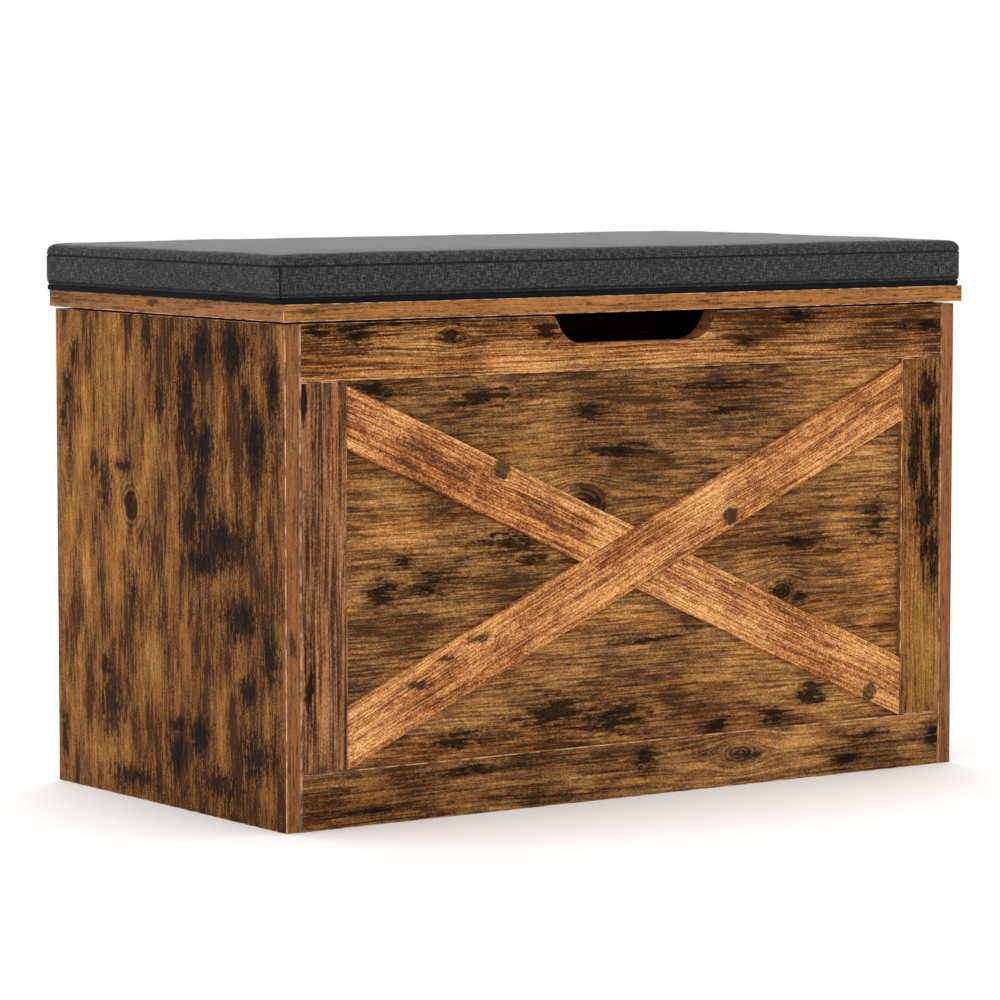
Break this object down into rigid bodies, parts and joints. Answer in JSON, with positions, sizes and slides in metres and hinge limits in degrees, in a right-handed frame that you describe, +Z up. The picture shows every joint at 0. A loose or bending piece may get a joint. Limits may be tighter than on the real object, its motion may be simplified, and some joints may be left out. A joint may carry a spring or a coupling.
{
  "type": "storage bench",
  "caption": "Lift-top storage bench: a rustic board chest with a braced front, a finger slot, a hinged lid on stays and a padded fabric seat.",
  "frame": {"origin": "on the floor under the middle of the bench's overall box", "axes": "+X along the bench towards its right end as seen from the front, +Y from the front to the back, +Z up"},
  "size_m": [0.76, 0.4044, 0.4946],
  "materials": {
    "rustic_board": "satin wood-print laminate, brown with dark stains",
    "brace_board": "satin wood-print laminate, orange tan",
    "plain_timber": "sawn softwood",
    "seat_fabric": "charcoal slubby linen-look weave",
    "base_cloth": "black non-woven cloth",
    "foam": "open-cell foam",
    "hook_tape": "black hook-and-loop tape",
    "steel": "zinc-plated steel",
    "zinc": "die-cast zinc",
    "black_plastic": "matt moulded plastic",
    "rubber": "matt rubber"
  },
  "bodies": {
    "carcass": {"left_side_panel": "rustic_board", "right_side_panel": "rustic_board", "front_panel": "rustic_board", "back_panel": "rustic_board", "bottom_panel": "rustic_board", "front_cleat": "plain_timber", "back_cleat": "plain_timber", "top_rail": "rustic_board", "bottom_rail": "rustic_board", "left_stile": "rustic_board", "right_stile": "rustic_board", "long_brace": "brace_board", "upper_short_brace": "brace_board", "lower_short_brace": "brace_board", "left_hinge_body_leaf": "steel", "right_hinge_body_leaf": "steel", "left_hinge_pin": "steel", "right_hinge_pin": "steel", "left_stay_housing": "black_plastic", "right_stay_housing": "black_plastic", "left_bumper": "rubber", "right_bumper": "rubber", "cam_front_left_low": "zinc", "cam_front_left_high": "zinc", "cam_front_right_low": "zinc", "cam_front_right_high": "zinc", "cam_back_left_low": "zinc", "cam_back_left_high": "zinc", "cam_back_right_low": "zinc", "cam_back_right_high": "zinc", "cam_bolt_front_left_low": "steel", "cam_bolt_front_left_high": "steel", "cam_bolt_front_right_low": "steel", "cam_bolt_front_right_high": "steel", "cam_bolt_back_left_low": "steel", "cam_bolt_back_left_high": "steel", "cam_bolt_back_right_low": "steel", "cam_bolt_back_right_high": "steel"},
    "lid": {"lid_board": "rustic_board", "cushion_cover": "seat_fabric", "cushion_base_cloth": "base_cloth", "cushion_foam": "foam", "left_hook_strip": "hook_tape", "right_hook_strip": "hook_tape", "left_loop_strip": "hook_tape", "right_loop_strip": "hook_tape", "left_hinge_lid_leaf": "steel", "right_hinge_lid_leaf": "steel", "left_lid_bracket": "steel", "right_lid_bracket": "steel"},
    "left_arm": {"left_stay_arm": "steel", "left_elbow_rivet": "steel"},
    "right_arm": {"right_stay_arm": "steel", "right_elbow_rivet": "steel"},
    "left_link": {"left_stay_link": "steel"},
    "right_link": {"right_stay_link": "steel"}
  },
  "joints": [
    {"name": "lid_hinge", "type": "hinge", "parent": "carcass", "child": "lid", "pos_m": [0, 0.19915, 0.4367], "axis": [-1, 0, 0], "range_deg": [0, 95]},
    {"name": "left_arm_pivot", "type": "hinge", "parent": "carcass", "child": "left_arm", "pos_m": [-0.346, 0.13915, 0.3767], "axis": [-1, 0, 0], "range_deg": [0, 95]},
    {"name": "right_arm_pivot", "type": "hinge", "parent": "carcass", "child": "right_arm", "pos_m": [0.346, 0.13915, 0.3767], "axis": [-1, 0, 0], "range_deg": [0, 95]},
    {"name": "left_elbow", "type": "hinge", "parent": "left_arm", "child": "left_link", "pos_m": [-0.343, -0.03085, 0.3597], "axis": [-1, 0, 0], "range_deg": [-95, 0]},
    {"name": "right_elbow", "type": "hinge", "parent": "right_arm", "child": "right_link", "pos_m": [0.343, -0.03085, 0.3597], "axis": [-1, 0, 0], "range_deg": [-95, 0]}
  ],
  "couplings": [
    {"joint": "left_arm_pivot", "follows": "lid_hinge", "ratio": 1},
    {"joint": "right_arm_pivot", "follows": "lid_hinge", "ratio": 1},
    {"joint": "left_elbow", "follows": "lid_hinge", "ratio": -1},
    {"joint": "right_elbow", "follows": "lid_hinge", "ratio": -1}
  ]
}
